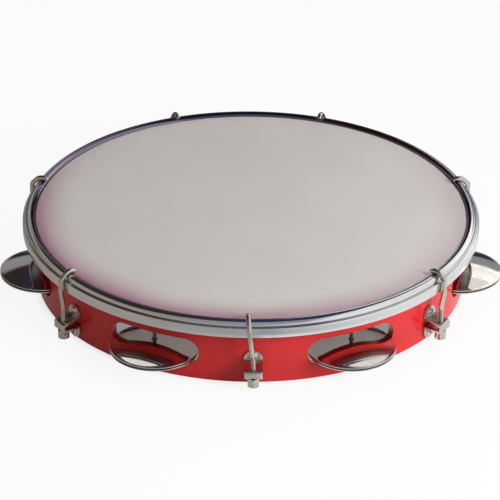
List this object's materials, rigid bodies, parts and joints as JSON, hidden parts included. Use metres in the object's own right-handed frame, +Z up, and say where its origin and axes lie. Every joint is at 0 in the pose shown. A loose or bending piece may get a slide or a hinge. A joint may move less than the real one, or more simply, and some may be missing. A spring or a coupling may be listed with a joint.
{
  "type": "pandeiro",
  "caption": "Hand-held frame drum: red plastic shell, tunable film head under a chromed hoop, hooks and nuts on brackets, and paired jingles on pins in slots.",
  "frame": {"origin": "on the drum's axis at the plane of the shell's bottom rim, which it rests on", "axes": "+Z up the drum's axis to the head, -Y to the first tension hook, +Y to the grip bay that has no slot, +X to the right when the first hook faces the viewer"},
  "size_m": [0.3396, 0.3146, 0.0533],
  "materials": {
    "shell_plastic": "glossy moulded red",
    "head_film": "satin milky translucent film",
    "flesh_hoop_alloy": "plain",
    "hoop_chrome": "bright plated",
    "hook_nickel": "bright nickel plated rod",
    "nut_nickel": "bright nickel plated",
    "bracket_nickel": "bright nickel plated",
    "screw_nickel": "bright nickel plated",
    "pin_steel": "plain drawn wire",
    "jingle_nickel": "mirror polished nickel plate",
    "damper_steel": "plain sheet"
  },
  "bodies": {
    "shell_assembly": {"shell": "shell_plastic", "drumhead": "head_film", "flesh_hoop": "flesh_hoop_alloy", "counterhoop": "hoop_chrome", "bracket_1": "bracket_nickel", "bracket_2": "bracket_nickel", "bracket_3": "bracket_nickel", "bracket_4": "bracket_nickel", "bracket_5": "bracket_nickel", "bracket_6": "bracket_nickel", "bracket_7": "bracket_nickel", "upper_bracket_screws": "screw_nickel", "lower_bracket_screws": "screw_nickel", "bracket_screw_nuts": "screw_nickel", "jingle_pin_1": "pin_steel", "jingle_pin_2": "pin_steel", "jingle_pin_3": "pin_steel", "jingle_pin_4": "pin_steel", "jingle_pin_5": "pin_steel", "jingle_pin_6": "pin_steel"},
    "lower_jingle_set_1": {"lower_jingle_1": "jingle_nickel", "damper_disc_1": "damper_steel"},
    "upper_jingle_body_1": {"upper_jingle_1": "jingle_nickel"},
    "lower_jingle_set_2": {"lower_jingle_2": "jingle_nickel", "damper_disc_2": "damper_steel"},
    "upper_jingle_body_2": {"upper_jingle_2": "jingle_nickel"},
    "lower_jingle_set_3": {"lower_jingle_3": "jingle_nickel", "damper_disc_3": "damper_steel"},
    "upper_jingle_body_3": {"upper_jingle_3": "jingle_nickel"},
    "lower_jingle_set_4": {"lower_jingle_4": "jingle_nickel", "damper_disc_4": "damper_steel"},
    "upper_jingle_body_4": {"upper_jingle_4": "jingle_nickel"},
    "lower_jingle_set_5": {"lower_jingle_5": "jingle_nickel", "damper_disc_5": "damper_steel"},
    "upper_jingle_body_5": {"upper_jingle_5": "jingle_nickel"},
    "lower_jingle_set_6": {"lower_jingle_6": "jingle_nickel", "damper_disc_6": "damper_steel"},
    "upper_jingle_body_6": {"upper_jingle_6": "jingle_nickel"},
    "tuning_nut_body_1": {"tuning_nut_1": "nut_nickel"},
    "tension_hook_body_1": {"tension_hook_1": "hook_nickel"},
    "tuning_nut_body_2": {"tuning_nut_2": "nut_nickel"},
    "tension_hook_body_2": {"tension_hook_2": "hook_nickel"},
    "tuning_nut_body_3": {"tuning_nut_3": "nut_nickel"},
    "tension_hook_body_3": {"tension_hook_3": "hook_nickel"},
    "tuning_nut_body_4": {"tuning_nut_4": "nut_nickel"},
    "tension_hook_body_4": {"tension_hook_4": "hook_nickel"},
    "tuning_nut_body_5": {"tuning_nut_5": "nut_nickel"},
    "tension_hook_body_5": {"tension_hook_5": "hook_nickel"},
    "tuning_nut_body_6": {"tuning_nut_6": "nut_nickel"},
    "tension_hook_body_6": {"tension_hook_6": "hook_nickel"},
    "tuning_nut_body_7": {"tuning_nut_7": "nut_nickel"},
    "tension_hook_body_7": {"tension_hook_7": "hook_nickel"}
  },
  "joints": [
    {"name": "jingle_spin_1", "type": "hinge", "parent": "shell_assembly", "child": "lower_jingle_set_1", "pos_m": [0.06392, -0.12736, 0.016], "axis": [0, 0, 1], "continuous": true},
    {"name": "jingle_lift_1", "type": "slide", "parent": "lower_jingle_set_1", "child": "upper_jingle_body_1", "axis": [0, 0, 1], "range_m": [0, 0.005]},
    {"name": "jingle_spin_2", "type": "hinge", "parent": "shell_assembly", "child": "lower_jingle_set_2", "pos_m": [0.14031, -0.02487, 0.016], "axis": [0, 0, 1], "continuous": true},
    {"name": "jingle_lift_2", "type": "slide", "parent": "lower_jingle_set_2", "child": "upper_jingle_body_2", "axis": [0, 0, 1], "range_m": [0, 0.005]},
    {"name": "jingle_spin_3", "type": "hinge", "parent": "shell_assembly", "child": "lower_jingle_set_3", "pos_m": [0.10379, 0.09764, 0.016], "axis": [0, 0, 1], "continuous": true},
    {"name": "jingle_lift_3", "type": "slide", "parent": "lower_jingle_set_3", "child": "upper_jingle_body_3", "axis": [0, 0, 1], "range_m": [0, 0.005]},
    {"name": "jingle_spin_4", "type": "hinge", "parent": "shell_assembly", "child": "lower_jingle_set_4", "pos_m": [-0.10379, 0.09764, 0.016], "axis": [0, 0, 1], "continuous": true},
    {"name": "jingle_lift_4", "type": "slide", "parent": "lower_jingle_set_4", "child": "upper_jingle_body_4", "axis": [0, 0, 1], "range_m": [0, 0.005]},
    {"name": "jingle_spin_5", "type": "hinge", "parent": "shell_assembly", "child": "lower_jingle_set_5", "pos_m": [-0.14031, -0.02487, 0.016], "axis": [0, 0, 1], "continuous": true},
    {"name": "jingle_lift_5", "type": "slide", "parent": "lower_jingle_set_5", "child": "upper_jingle_body_5", "axis": [0, 0, 1], "range_m": [0, 0.005]},
    {"name": "jingle_spin_6", "type": "hinge", "parent": "shell_assembly", "child": "lower_jingle_set_6", "pos_m": [-0.06392, -0.12736, 0.016], "axis": [0, 0, 1], "continuous": true},
    {"name": "jingle_lift_6", "type": "slide", "parent": "lower_jingle_set_6", "child": "upper_jingle_body_6", "axis": [0, 0, 1], "range_m": [0, 0.005]},
    {"name": "nut_turn_1", "type": "hinge", "parent": "shell_assembly", "child": "tuning_nut_body_1", "pos_m": [0, -0.1553, 0.0067], "axis": [0, 0, -1], "range_deg": [0, 1080]},
    {"name": "hook_slide_1", "type": "slide", "parent": "shell_assembly", "child": "tension_hook_body_1", "axis": [0, 0, 1], "range_m": [0, 0.0021]},
    {"name": "nut_turn_2", "type": "hinge", "parent": "shell_assembly", "child": "tuning_nut_body_2", "pos_m": [0.12452, -0.09281, 0.0067], "axis": [0, 0, -1], "range_deg": [0, 1080]},
    {"name": "hook_slide_2", "type": "slide", "parent": "shell_assembly", "child": "tension_hook_body_2", "axis": [0, 0, 1], "range_m": [0, 0.0021]},
    {"name": "nut_turn_3", "type": "hinge", "parent": "shell_assembly", "child": "tuning_nut_body_3", "pos_m": [0.14883, 0.04437, 0.0067], "axis": [0, 0, -1], "range_deg": [0, 1080]},
    {"name": "hook_slide_3", "type": "slide", "parent": "shell_assembly", "child": "tension_hook_body_3", "axis": [0, 0, 1], "range_m": [0, 0.0021]},
    {"name": "nut_turn_4", "type": "hinge", "parent": "shell_assembly", "child": "tuning_nut_body_4", "pos_m": [0.05337, 0.14584, 0.0067], "axis": [0, 0, -1], "range_deg": [0, 1080]},
    {"name": "hook_slide_4", "type": "slide", "parent": "shell_assembly", "child": "tension_hook_body_4", "axis": [0, 0, 1], "range_m": [0, 0.0021]},
    {"name": "nut_turn_5", "type": "hinge", "parent": "shell_assembly", "child": "tuning_nut_body_5", "pos_m": [-0.05337, 0.14584, 0.0067], "axis": [0, 0, -1], "range_deg": [0, 1080]},
    {"name": "hook_slide_5", "type": "slide", "parent": "shell_assembly", "child": "tension_hook_body_5", "axis": [0, 0, 1], "range_m": [0, 0.0021]},
    {"name": "nut_turn_6", "type": "hinge", "parent": "shell_assembly", "child": "tuning_nut_body_6", "pos_m": [-0.14883, 0.04437, 0.0067], "axis": [0, 0, -1], "range_deg": [0, 1080]},
    {"name": "hook_slide_6", "type": "slide", "parent": "shell_assembly", "child": "tension_hook_body_6", "axis": [0, 0, 1], "range_m": [0, 0.0021]},
    {"name": "nut_turn_7", "type": "hinge", "parent": "shell_assembly", "child": "tuning_nut_body_7", "pos_m": [-0.12452, -0.09281, 0.0067], "axis": [0, 0, -1], "range_deg": [0, 1080]},
    {"name": "hook_slide_7", "type": "slide", "parent": "shell_assembly", "child": "tension_hook_body_7", "axis": [0, 0, 1], "range_m": [0, 0.0021]}
  ],
  "couplings": [
    {"joint": "nut_turn_1", "follows": "hook_slide_1", "rad_per_m": 8976},
    {"joint": "nut_turn_2", "follows": "hook_slide_2", "rad_per_m": 8976},
    {"joint": "nut_turn_3", "follows": "hook_slide_3", "rad_per_m": 8976},
    {"joint": "nut_turn_4", "follows": "hook_slide_4", "rad_per_m": 8976},
    {"joint": "nut_turn_5", "follows": "hook_slide_5", "rad_per_m": 8976},
    {"joint": "nut_turn_6", "follows": "hook_slide_6", "rad_per_m": 8976},
    {"joint": "nut_turn_7", "follows": "hook_slide_7", "rad_per_m": 8976}
  ]
}
